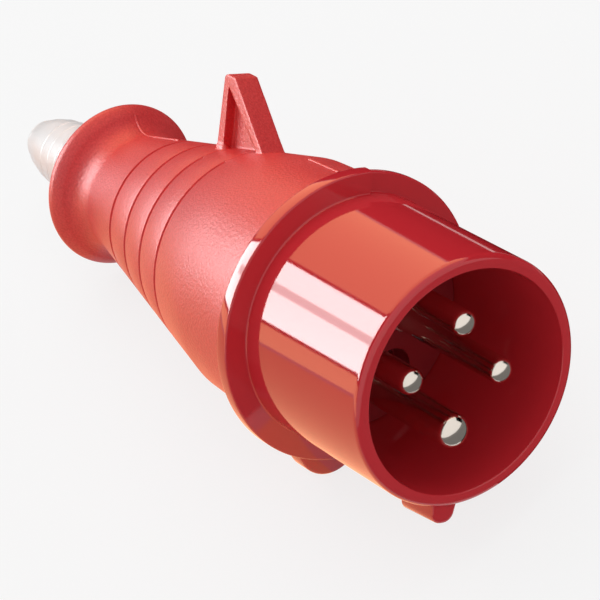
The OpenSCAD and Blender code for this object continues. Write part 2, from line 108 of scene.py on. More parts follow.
class PLUG_PG_shroud(bpy.types.PropertyGroup):
    """Sizes of the shroud, its collar, key rib and half of the lug."""
    radius: in_mm("Shroud radius", "Outer radius of the shroud", 28.75)
    well: in_mm("Well radius", "Inner radius of the shroud", 25.65)
    length: in_mm("Shroud length", "From the rim to the collar", 42.4)
    rim_round: in_mm("Rim rounding", "Rounding of the rim's outer edge", 1.7)
    collar: in_mm("Collar radius", "Outer radius of the collar", 34.2)
    collar_back: in_mm("Collar back", "Depth of the collar's rear face", 46)
    relief: in_mm("Relief", "Depth of the relief on the collar's front", 1.6)
    relief_step: in_mm("Relief step", "How far the collar's edge steps in at the relief", 0.6)
    relief_sweep: plain("Relief sweep", "Sweep of the relief in degrees", 75.0)
    key_length: in_mm("Key length", "Length of the key rib", 12)
    key_height: in_mm("Key height", "Height of the key rib at its front", 4.5)
    key_rise: in_mm("Key rise", "Rise of the key rib's crest to its rear", 1)
    key_width: in_mm("Key width", "Width of the key rib", 6.9)
    key_shoulder: in_mm("Key shoulder", "Rounding of the key rib's shoulders", 2.5)
    lug_radius: in_mm("Lug radius", "Radius of the shroud's half of the lug", 8.5)
    colour: paint("Colour of the glossy moulding", (0.63, 0.026, 0.036))


class PLUG_PG_handle(bpy.types.PropertyGroup):
    """Sizes of the handle with its grooves, fin, flare and half of the lug."""
    front: in_mm("Front radius", "Radius behind the collar", 30.5)
    barrel: in_mm("Barrel radius", "Radius where the cone starts", 29.5)
    neck: in_mm("Neck radius", "Radius of the cone at the neck", 15.05)
    lip: in_mm("Lip radius", "Radius of the flare's lip", 20.5)
    length: in_mm("Handle length", "From the collar to the end of the flare", 98.9)
    barrel_length: in_mm("Barrel length", "Straight stretch behind the collar", 23)
    wall: in_mm("Wall", "Thickness of the handle's wall", 2.9)
    grooves: IntProperty(name="Grooves", description="Number of grip grooves", default=4)
    first_groove: in_mm("First groove", "From the start of the cone to the first groove", 16.6)
    groove_pitch: in_mm("Groove pitch", "From one groove to the next", 10.55)
    groove_width: in_mm("Groove width", "Width of a groove", 1.1)
    groove_depth: in_mm("Groove depth", "Depth of a groove", 0.7)
    fin_top: in_mm("Fin top", "Height of the fin above the axis", 40.9)
    fin_width: in_mm("Fin width", "Thickness of the fin", 6.4)
    fin_web: in_mm("Fin web", "Thickness of the web in the fin", 1)
    seam_width: in_mm("Seam width", "Width of the raised parting line", 0.8)
    seam_height: in_mm("Seam height", "Height of the raised parting line", 0.3)
    lug_radius: in_mm("Lug radius", "Radius of the handle's half of the lug", 7.6)
    lug_tip: in_mm("Lug tip", "Radius at the rear end of the lug", 5.6)
    colour: paint("Colour of the textured moulding", (0.61, 0.025, 0.027))


class PLUG_PG_sleeve(bpy.types.PropertyGroup):
    """Sizes of the white cable sleeve."""
    radius: in_mm("Sleeve radius", "Radius where it leaves the flare", 10.6)
    tip: in_mm("Tip radius", "Radius at the tip", 5.6)
    out: in_mm("Sleeve length", "Length behind the flare", 36.6)
    entry: in_mm("Entry radius", "Radius of the opening", 3.6)
    wall: in_mm("Wall", "Thickness of the sleeve's wall", 1.8)
    ribs: IntProperty(name="Ribs", description="Number of fine ribs round the sleeve", default=6)
    rib_pitch: in_mm("Rib pitch", "From one rib to the next", 4.1)
    rib_size: in_mm("Rib size", "Radius of a rib's section", 0.45)
    rib_sunk: in_mm("Rib sunk", "How deep a rib's centre line lies under the surface", 0.25)
    colour: paint("Colour of the sleeve", (0.88, 0.87, 0.87))


class PLUG_PG_pins(bpy.types.PropertyGroup):
    """Sizes of the contact pins."""
    circle: in_mm("Pin circle", "Radius of the circle that the pins stand on", 12.05)
    phase: in_mm("Phase pin radius", "Radius of a phase pin", 3)
    earth: in_mm("Earth pin radius", "Radius of the earth pin", 4)
    phase_tip: in_mm("Phase tip depth", "Depth of the phase pins' tips", 2.3)
    earth_tip: in_mm("Earth tip depth", "Depth of the earth pin's tip", 0.2)
    dome: plain("Dome share", "Height of the dome as a share of the radius", 0.77)
    colour: paint("Colour of the plating", (0.80, 0.72, 0.64))


class PLUG_PG_studio(bpy.types.PropertyGroup):
    """Camera, floor and soft lights."""
    lens: plain("Lens", "Focal length of the camera in millimetres", 186.9)
    camera: three("Camera", "Place of the camera", (480.2 * MM, -402.1 * MM, 219.4 * MM), "TRANSLATION")
    looks: three("Direction", "Viewing direction", (-0.7637, 0.5649, -0.3125))
    down: three("Picture down", "Direction that is down in the picture", (0.3237, -0.0837, -0.9424))
    fill: plain("Fill", "Strength of the world on matt surfaces", 0.56)
    soft: plain("Soft light", "Strength of the soft light from above", 1.5)
    tent: plain("Tent", "Strength of the panels that the gloss shows", 4.1)
    window: plain("Window", "Strength of the bright strip", 15.0)
    warm: FloatVectorProperty(name="Warm panels", description="Colour of the warm panels that the gloss shows",
                              subtype="COLOR", default=(1.0, 0.475, 0.257))


class PLUG_PG_all(bpy.types.PropertyGroup):
    """All settings of the plug."""
    shroud: PointerProperty(type=PLUG_PG_shroud)
    handle: PointerProperty(type=PLUG_PG_handle)
    sleeve: PointerProperty(type=PLUG_PG_sleeve)
    pins: PointerProperty(type=PLUG_PG_pins)
    studio: PointerProperty(type=PLUG_PG_studio)


def settings():
    """The scene's settings for this plug."""
    return bpy.context.scene.plug


# ---------------------------------------------------------------- sizes that the mouldings share
FACE_DEPTH = 39.5 * MM
CARRIER_BACK = 50.0 * MM
LUG_REACH, LUG_SPLIT, LUG_POINTS = 30.4 * MM, 50.0 * MM, 72
SCREW_REACH = 32.2 * MM
LIP_ROUND, LIP_BACK, FLARE_CURVE = 1.7 * MM, 2.2 * MM, 6.8 * MM
FLARE_RIM_ANGLE = 118
SEAL_POCKET_DEPTH = 16.8 * MM


def cone_start(h):
    """Depth where the handle's barrel turns into its cone."""
    return settings().shroud.collar_back + h.barrel_length


def flare_end(h):
    """Depth of the handle's rear end."""
    return settings().shroud.collar_back + h.length


def flare_centre(h):
    """Depth of the centre of the flare's concave curve."""
    return flare_end(h) - LIP_ROUND - FLARE_CURVE - LIP_BACK


def cone_slope(h):
    """How fast the cone's radius falls with depth."""
    return (h.barrel - h.neck) / (flare_centre(h) - cone_start(h))


def cone_radius(h, depth):
    """Outer radius of the handle's cone at a depth."""
    return h.barrel - cone_slope(h) * (depth - cone_start(h))


def flare_arc(h, sunk=0.0):
    """The flare's concave curve as (radius, depth) points, from the cone to the lip, sunk below the surface."""
    lean = math.atan(cone_slope(h))
    start = flare_centre(h) - FLARE_CURVE * math.sin(lean)
    centre = (cone_radius(h, start) + FLARE_CURVE * math.cos(lean), flare_centre(h))
    return arc(centre, FLARE_CURVE + sunk, 180 + math.degrees(lean), FLARE_RIM_ANGLE, 14)


def lug_loop(radius, depth, clear):
    """A circle round the lug's axis, pushed out to stay clear of the plug's axis."""
    loop = []
    for k in range(LUG_POINTS):
        angle = TURN * k / LUG_POINTS
        point = Vector((radius * math.cos(angle) - LUG_REACH, radius * math.sin(angle)))
        if point.length < clear:
            point = point.normalized() * clear
        loop.append((point.x, point.y, depth))
    return loop


# ---------------------------------------------------------------- mesh helpers
def arc(centre, radius, start, end, steps=8):
    """Points of an arc round (radius, depth), from one angle in degrees to another."""
    out = []
    for i in range(steps + 1):
        angle = math.radians(start + (end - start) * i / steps)
        out.append((centre[0] + radius * math.cos(angle), centre[1] + radius * math.sin(angle)))
    return out


ROUNDING_STEPS = 4


def rounding(size, k):
    """Step k of a quarter round: how far along it is, and how far inside the full section."""
    angle = math.radians(90 * k / ROUNDING_STEPS)
    return size * (1 - math.cos(angle)), size * (1 - math.sin(angle))


STRAIGHT_ENOUGH = math.radians(14)


def soften(outline, size, steps=3, closed=True):
    """Rounds the corners of an outline of (radius, depth) points, each by at most size."""
    out = []
    count = len(outline)
    for i, point in enumerate(outline):
        p = Vector(point)
        if not closed and i in (0, count - 1):
            out.append(tuple(p))
            continue
        a, b = Vector(outline[i - 1]) - p, Vector(outline[(i + 1) % count]) - p
        if math.pi - a.angle(b) < STRAIGHT_ENOUGH:
            out.append(tuple(p))
            continue
        reach = min(size, a.length * 0.45, b.length * 0.45)
        start, end = p + a.normalized() * reach, p + b.normalized() * reach
        for k in range(steps + 1):
            t = k / steps
            out.append(tuple((1 - t) ** 2 * start + 2 * t * (1 - t) * p + t * t * end))
    return out


def turned_mesh(bm, outline, count=192, shape=None, angles=None):
    """Adds a turned solid. The outline runs from radius 0 to radius 0, or is a closed loop."""
    angles = angles or [TURN * i / count for i in range(count)]
    on_axis = [abs(p[0]) < ON_AXIS for p in outline]
    poles = {i: bm.verts.new((0, 0, outline[i][1])) for i, flag in enumerate(on_axis) if flag}
    rings = []
    for angle in angles:
        pts = shape(angle, outline) if shape else outline
        rings.append([poles.get(i) or bm.verts.new((p[0] * math.cos(angle), p[0] * math.sin(angle), p[1]))
                      for i, p in enumerate(pts)])
    size = len(outline)
    for i, ring in enumerate(rings):
        following = rings[(i + 1) % len(rings)]
        for j in range(size):
            k = (j + 1) % size
            if on_axis[j] and on_axis[k]:
                continue
            corners = [ring[j], ring[k], following[k], following[j]]
            corners = [v for n, v in enumerate(corners) if v not in corners[:n]]
            if len(corners) > 2:
                bm.faces.new(corners)


def lofted(bm, loops):
    """Joins loops of points of equal length with faces, and closes both ends."""
    rings = [[bm.verts.new(p) for p in loop] for loop in loops]
    size = len(rings[0])
    for a, b in zip(rings, rings[1:]):
        for j in range(size):
            k = (j + 1) % size
            bm.faces.new([a[j], a[k], b[k], b[j]])
    bm.faces.new(list(reversed(rings[0])))
    bm.faces.new(rings[-1])


def mesh_of(name, bm):
    """Turns a bmesh into a mesh and frees it."""
    mesh = bpy.data.meshes.new(name)
    bm.to_mesh(mesh)
    bm.free()
    return mesh


def add_object(name, mesh):
    """A new object at the origin with this mesh."""
    obj = bpy.data.objects.new(name, mesh)
    bpy.context.scene.collection.objects.link(obj)
    return obj


def set_down(name, mesh):
    """Moves a standing mesh to its place in the row, smooths it and gives it an object at the origin."""
    mesh.transform(PLUG)
    for polygon in mesh.polygons:
        polygon.use_smooth = True
    mesh.set_sharp_from_angle(angle=SMOOTH_ANGLE)
    return add_object(name, mesh)


def finished(name, bm):
    """Turns a standing bmesh into a finished object in the row."""
    bmesh.ops.recalc_face_normals(bm, faces=bm.faces)
    return set_down(name, mesh_of(name, bm))


def standing(name, bm):
    """A helper object in the standing frame, for a modifier to work on."""
    bmesh.ops.recalc_face_normals(bm, faces=bm.faces)
    return add_object(name, mesh_of(name, bm))


def evaluated_mesh(obj):
    """The object's mesh with its modifiers applied."""
    bpy.context.view_layer.update()
    graph = bpy.context.evaluated_depsgraph_get()
    return bpy.data.meshes.new_from_object(obj.evaluated_get(graph))


def discard(*objects):
    """Removes helper objects."""
    for obj in objects:
        bpy.data.objects.remove(obj, do_unlink=True)


def cut(obj, cutter):
    """Takes the cutter out of the object and returns the mesh that is left."""
    modifier = obj.modifiers.new("Cut", "BOOLEAN")
    modifier.operation = "DIFFERENCE"
    modifier.solver = "EXACT"
    modifier.object = cutter
    return evaluated_mesh(obj)


def piece(obj, node, slot):
    """Gives the piece its finish, hangs it under the root body and hides the imported part it stands in for."""
    obj.data.materials.clear()
    obj.data.materials.append(finishes()[slot])
    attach(obj, "root")
    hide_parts(node)
    return obj


# ---------------------------------------------------------------- node helpers
class Nodes:
    """A material's, world's or group's node tree, with short calls for adding and linking nodes."""

    def __init__(self, tree):
        self.tree = tree

    def put(self, socket, value):
        """Links a socket to another, or sets its value."""
        if isinstance(value, bpy.types.NodeSocket):
            self.tree.links.new(value, socket)
        else:
            socket.default_value = value

    def add(self, kind, inputs=None, **values):
        node = self.tree.nodes.new(kind)
        for name, value in values.items():
            setattr(node, name, value)
        for key, value in (inputs or {}).items():
            self.put(node.inputs[key], value)
        return node

    def ramp(self, factor, stops):
        node = self.add("ShaderNodeValToRGB", {"Fac": factor})
        for element, (position, value) in zip(node.color_ramp.elements, stops):
            element.position = position
            element.color = (value, value, value, 1)
        return node.outputs["Color"]

    def math(self, operation, a, b):
        return self.add("ShaderNodeMath", {0: a, 1: b}, operation=operation).outputs[0]

    def mix(self, factor, a, b):
        """Mixes two colours. Sockets 0, 6 and 7 are the colour mix's factor and its two colours."""
        node = self.add("ShaderNodeMix", data_type="RGBA", blend_type="MIX")
        for key, value in ((0, factor), (6, a), (7, b)):
            self.put(node.inputs[key], (*value, 1) if isinstance(value, tuple) else value)
        return node.outputs[2]

    def sees_white(self):
        """One for the rays that see white surroundings: camera, glossy and transmission rays."""
        path = self.add("ShaderNodeLightPath").outputs
        both = self.math("MAXIMUM", path["Is Camera Ray"], path["Is Glossy Ray"])
        return self.math("MAXIMUM", both, path["Is Transmission Ray"])


def empty_nodes(owner):
    """Clears the node tree of a material or world and returns its Nodes."""
    owner.use_nodes = True
    owner.node_tree.nodes.clear()
    return Nodes(owner.node_tree)


def new_group(name, inputs, outputs, kind="ShaderNodeTree"):
    """A node group with its named sockets. Returns the group, its Nodes and its two end nodes."""
    group = bpy.data.node_groups.new(name, kind)
    for label, socket_type, value in inputs:
        socket = group.interface.new_socket(label, in_out="INPUT", socket_type=socket_type)
        if value is not None:
            socket.default_value = value
    for label, socket_type in outputs:
        group.interface.new_socket(label, in_out="OUTPUT", socket_type=socket_type)
    nodes = Nodes(group)
    return group, nodes, nodes.add("NodeGroupInput"), nodes.add("NodeGroupOutput")


# ---------------------------------------------------------------- finishes
def moulding_grain():
    """Spark-eroded grain: a height that varies like fine leather, and a mask of its hollows."""
    name = "Moulding grain"
    if name in bpy.data.node_groups:
        return bpy.data.node_groups[name]
    group, n, given, result = new_group(
        name,
        [("Scale", "NodeSocketFloat", 2200.0), ("Roughness", "NodeSocketFloat", 0.6)],
        [("Height", "NodeSocketFloat"), ("Speckle", "NodeSocketFloat")])
    place = n.add("ShaderNodeTexCoord").outputs["Object"]
    fine = n.add("ShaderNodeTexNoise", {"Vector": place, "Scale": given.outputs["Scale"], "Detail": 2.0,
                                        "Roughness": given.outputs["Roughness"]})
    cell_scale, noise_share, cell_share = 0.62, 0.65, 0.5
    cell = n.add("ShaderNodeTexVoronoi", {"Vector": place,
                                          "Scale": n.math("MULTIPLY", given.outputs["Scale"], cell_scale)})
    height = n.math("ADD", n.math("MULTIPLY", fine.outputs["Fac"], noise_share),
                    n.math("MULTIPLY", cell.outputs["Distance"], cell_share))
    group.links.new(height, result.inputs["Height"])
    group.links.new(n.ramp(fine.outputs["Fac"], [(0.38, 0.0), (0.62, 1.0)]), result.inputs["Speckle"])
    return group


def handling_marks():
    """Faint smears and a slow mottle over a surface."""
    name = "Handling marks"
    if name in bpy.data.node_groups:
        return bpy.data.node_groups[name]
    group, n, given, result = new_group(
        name,
        [("Scale", "NodeSocketFloat", 60.0)],
        [("Smear", "NodeSocketFloat"), ("Mottle", "NodeSocketFloat")])
    place = n.add("ShaderNodeTexCoord").outputs["Object"]
    broad = n.add("ShaderNodeTexNoise", {"Vector": place, "Scale": given.outputs["Scale"], "Detail": 4.0,
                                         "Roughness": 0.55})
    slow_scale = 0.35
    slow = n.add("ShaderNodeTexNoise", {"Vector": place, "Detail": 2.0,
                                        "Scale": n.math("MULTIPLY", given.outputs["Scale"], slow_scale)})
    group.links.new(n.ramp(broad.outputs["Fac"], [(0.45, 0.0), (0.75, 1.0)]), result.inputs["Smear"])
    group.links.new(n.ramp(slow.outputs["Fac"], [(0.3, 0.0), (0.7, 1.0)]), result.inputs["Mottle"])
    return group


def worked_surface(name, colour, vary, roughness, smear, marks_scale, grain_scale, grain_depth, bump, speckle=0.0):
    """A material whose colour, roughness and height vary slightly. Returns it and its Principled shader.

    smear holds the roughness of a clean spot and what a smear adds, both as shares of roughness.
    """
    material = bpy.data.materials.new(name)
    n = empty_nodes(material)
    shader = n.add("ShaderNodeBsdfPrincipled")
    n.add("ShaderNodeOutputMaterial", {"Surface": shader.outputs["BSDF"]})
    marks = n.add("ShaderNodeGroup", node_tree=handling_marks())
    grain = n.add("ShaderNodeGroup", node_tree=moulding_grain())
    marks.inputs["Scale"].default_value = marks_scale
    grain.inputs["Scale"].default_value = grain_scale
    base = n.mix(marks.outputs["Mottle"], tuple(c * (1 - vary) for c in colour), colour)
    if speckle:
        lighter = tuple(min(1, c * 1.25 + 0.02) for c in colour)
        base = n.mix(n.math("MULTIPLY", grain.outputs["Speckle"], speckle), base, lighter)
    clean, smeared = smear
    rough = n.math("ADD", n.math("MULTIPLY", marks.outputs["Smear"], roughness * smeared), roughness * clean)
    height = n.add("ShaderNodeBump", {"Height": grain.outputs["Height"], "Strength": bump, "Distance": grain_depth})
    n.put(shader.inputs["Base Color"], base)
    n.put(shader.inputs["Roughness"], rough)
    n.put(shader.inputs["Normal"], height.outputs["Normal"])
    return material, shader


def plastic(name, colour, roughness, grain_scale, grain_depth, vary=0.05, level=0.5, speckle=0.0):
    """A moulded plastic or rubber."""
    material, shader = worked_surface(name, colour, vary, roughness, (0.94, 0.18), 55.0, grain_scale, grain_depth,
                                      1.0, speckle)
    shader.inputs["Specular IOR Level"].default_value = level
    return material


def metal(name, colour, roughness):
    """A plated or turned metal with fine marks."""
    material, shader = worked_surface(name, colour, 0.07, roughness, (0.9, 0.3), 220.0, 1400.0, 0.01 * MM, 0.4)
    shader.inputs["Metallic"].default_value = 1.0
    return material


def finishes():
    """All finishes by the record's slot name, made once."""
    made = {material["slot"]: material for material in bpy.data.materials if "slot" in material}
    if made:
        return made
    s = settings()
    table = {
        "shroud_gloss": plastic("Glossy red moulding", tuple(s.shroud.colour), 0.07, 900.0, 0.002 * MM, 0.04),
        "handle_matt": plastic("Textured red moulding", tuple(s.handle.colour), 0.42, 2100.0, 0.09 * MM, 0.06, 0.42,
                               speckle=0.5),
        "carrier_plastic": plastic("Carrier moulding", (0.36, 0.018, 0.026), 0.35, 1200.0, 0.01 * MM, level=0.4),
        "plated_brass": metal("Nickel plating", tuple(s.pins.colour), 0.16),
        "insert_brass": metal("Turned brass", (0.80, 0.62, 0.30), 0.25),
        "screw_steel": metal("Zinc plated steel", (0.66, 0.67, 0.70), 0.28),
        "black_rubber": plastic("Black rubber", (0.03, 0.03, 0.032), 0.7, 1500.0, 0.03 * MM),
        "white_sleeve": plastic("White sleeve moulding", tuple(s.sleeve.colour), 0.38, 900.0, 0.01 * MM, 0.03),
    }
    for slot, material in table.items():
        material["slot"] = slot
    return table


# ---------------------------------------------------------------- geometry node trees
def close_tree(group, n, given, result, geometry):
    """Ends a tree: instances made real, then the material set."""
    real = n.add("GeometryNodeRealizeInstances", {"Geometry": geometry})
    shown = n.add("GeometryNodeSetMaterial", {"Geometry": real.outputs["Geometry"],
                                              "Material": given.outputs["Material"]})
    group.links.new(shown.outputs["Geometry"], result.inputs["Geometry"])
    return group


def ribs_tree():
    """Rings round the plug's axis at an even pitch, each smaller than the last."""
    group, n, given, result = new_group(
        "Sleeve ribs",
        [("Count", "NodeSocketInt", 5), ("Start", "NodeSocketFloat", 0.0), ("Pitch", "NodeSocketFloat", 0.004),
         ("Radius", "NodeSocketFloat", 0.01), ("Shrink", "NodeSocketFloat", 0.04),
         ("Rib size", "NodeSocketFloat", 0.0004), ("Material", "NodeSocketMaterial", None)],
        [("Geometry", "NodeSocketGeometry")], "GeometryNodeTree")
    start = n.add("ShaderNodeCombineXYZ", {"Z": given.outputs["Start"]})
    step = n.add("ShaderNodeCombineXYZ", {"Z": given.outputs["Pitch"]})
    line = n.add("GeometryNodeMeshLine", {"Count": given.outputs["Count"], "Start Location": start.outputs[0],
                                          "Offset": step.outputs[0]}, mode="OFFSET")
    path = n.add("GeometryNodeCurvePrimitiveCircle", {"Resolution": 128, "Radius": given.outputs["Radius"]})
    section = n.add("GeometryNodeCurvePrimitiveCircle", {"Resolution": 12, "Radius": given.outputs["Rib size"]})
    ring = n.add("GeometryNodeCurveToMesh", {"Curve": path.outputs["Curve"],
                                             "Profile Curve": section.outputs["Curve"]})
    order = n.add("GeometryNodeInputIndex").outputs[0]
    share = n.math("SUBTRACT", 1.0, n.math("MULTIPLY", order, given.outputs["Shrink"]))
    scale = n.add("ShaderNodeCombineXYZ", {"X": share, "Y": share, "Z": 1.0})
    placed = n.add("GeometryNodeInstanceOnPoints", {
        "Points": line.outputs["Mesh"], "Instance": ring.outputs["Mesh"], "Scale": scale.outputs[0]})
    return close_tree(group, n, given, result, placed.outputs["Instances"])


def seam_tree():
    """A round bead along a chain of points."""
    group, n, given, result = new_group(
        "Parting line",
        [("Geometry", "NodeSocketGeometry", None), ("Width", "NodeSocketFloat", 0.0008),
         ("Material", "NodeSocketMaterial", None)],
        [("Geometry", "NodeSocketGeometry")], "GeometryNodeTree")
    path = n.add("GeometryNodeMeshToCurve", {"Mesh": given.outputs["Geometry"]})
    half = n.math("MULTIPLY", given.outputs["Width"], 0.5)
    section = n.add("GeometryNodeCurvePrimitiveCircle", {"Resolution": 16, "Radius": half})
    bead = n.add("GeometryNodeCurveToMesh", {"Curve": path.outputs["Curve"], "Fill Caps": True,
                                             "Profile Curve": section.outputs["Curve"]})
    return close_tree(group, n, given, result, bead.outputs["Mesh"])


def grown(tree, values, points=()):
    """The plain mesh that a tree makes from its named inputs and a chain of points."""
    mesh = bpy.data.meshes.new(tree.name)
    mesh.from_pydata(points, [(i, i + 1) for i in range(len(points) - 1)], [])
    holder = add_object(tree.name, mesh)
    modifier = holder.modifiers.new(tree.name, "NODES")
    modifier.node_group = tree
    sockets = {item.name: item.identifier for item in tree.interface.items_tree if item.in_out == "INPUT"}
    for name, value in values.items():
        modifier[sockets[name]] = value
    made = evaluated_mesh(holder)
    discard(holder)
    bm = bmesh.new()
    bm.from_mesh(made)
    bmesh.ops.recalc_face_normals(bm, faces=bm.faces)
    return mesh_of(tree.name, bm)


# ---------------------------------------------------------------- shroud
class PLUG_OT_shroud(bpy.types.Operator):
    """Builds the glossy shroud with its collar, key rib and half of the screw lug"""
    bl_idname = "plug.shroud"
    bl_label = "Shroud"

    ROOT_ROUND = 0.45 * MM

    def execute(self, context):
        s = settings().shroud
        blur = math.radians(0.5)
        sweep = math.radians(s.relief_sweep)

        def relieved(angle, outline):
            """The outline at an angle, with the collar's front face and edge set back inside the relief."""
            edge_distance = min(angle, sweep - angle) if angle < math.pi else -blur
            inside = min(1.0, max(0.0, edge_distance / blur + 0.5))
            return [self.set_back(s, point, inside) for point in outline] if inside else outline

        angles = {TURN * i / 240 for i in range(240)}
        for edge_angle in (0.0, sweep):
            angles |= {(edge_angle + blur * k / 2) % TURN for k in (-1, -0.5, 0, 0.5, 1)}
        bm = bmesh.new()
        turned_mesh(bm, self.outline(s), shape=relieved, angles=sorted(angles))
        self.key_rib(bm, s)
        self.lug(bm, s)
        piece(finished("shroud_shell", bm), "front_shroud", "shroud_gloss")
        return {"FINISHED"}

    def outline(self, s):
        """The closed outline of the shroud, its collar and the spigot that enters the handle."""
        spigot, nest, spigot_end, ledge = 28.0 * MM, 26.4 * MM, 58.0 * MM, 43.0 * MM
        root, edge, lip = self.ROOT_ROUND, 0.5 * MM, 0.35 * MM
        loop = arc((s.radius - s.rim_round, s.rim_round), s.rim_round, -90, 0, 10)
        loop += arc((s.radius + root, s.length - root), root, 180, 90, 4)
        loop += arc((s.collar - edge, s.length + edge), edge, -90, 0, 5)
        loop += arc((s.collar - edge, s.collar_back - edge), edge, 0, 90, 5)
        loop += [(spigot, s.collar_back), (spigot, spigot_end), (nest, spigot_end), (nest, ledge), (s.well, ledge)]
        return loop + arc((s.well + lip, lip), lip, 180, 270, 4)

    def set_back(self, s, point, inside):
        """A point of the outline, moved by the relief where it belongs to the collar's front or edge."""
        radius, depth = point
        edge = 0.5 * MM
        front = s.length - self.ROOT_ROUND - TINY <= depth < s.collar_back - edge - TINY
        if front and radius >= s.radius - TINY:
            depth += s.relief * inside
        if s.length - TINY <= depth and radius > s.radius + 2 * self.ROOT_ROUND:
            radius -= s.relief_step * inside
        # The clamp also ends the hidden spigot at the collar's rear face inside the sweep.
        return radius, min(depth, s.collar_back)

    def key_rib(self, bm, s):
        """The rib at six o'clock, with rounded shoulders and ends."""
        start, root, end_round, draft = s.rim_round, s.radius - 1.4 * MM, 0.7 * MM, 0.85
        ends = [rounding(end_round, k) for k in range(ROUNDING_STEPS + 1)]
        stations = [(start + along, inset) for along, inset in ends]
        stations += [(start + s.key_length - along, inset) for along, inset in reversed(ends)]
        loops = []
        for depth, inset in stations:
            crest = s.radius + s.key_height + s.key_rise * (depth - start) / s.key_length - inset
            half, top = s.key_width / 2 - inset, s.key_width / 2 * draft - inset
            r = s.key_shoulder - inset * 0.5
            points = [(root, -half)] + arc((crest - r, -(top - r)), r, -90, 0, 6)
            points += arc((crest - r, top - r), r, 0, 90, 6) + [(root, half)]
            loops.append([(-height, -side, depth) for height, side in points])
        lofted(bm, loops)

    def lug(self, bm, s):
        """The shroud's half of the screw lug, kept clear of the carrier's nest."""
        front, edge, break_edge, clear = 44.8 * MM, 0.8 * MM, 0.1 * MM, 27.0 * MM
        ends = [rounding(edge, k) for k in range(ROUNDING_STEPS + 1)]
        stations = [(front + along, inset) for along, inset in ends]
        stations += [(LUG_SPLIT - break_edge, 0.0), (LUG_SPLIT, break_edge)]
        lofted(bm, [lug_loop(s.lug_radius - inset, depth, clear) for depth, inset in stations])


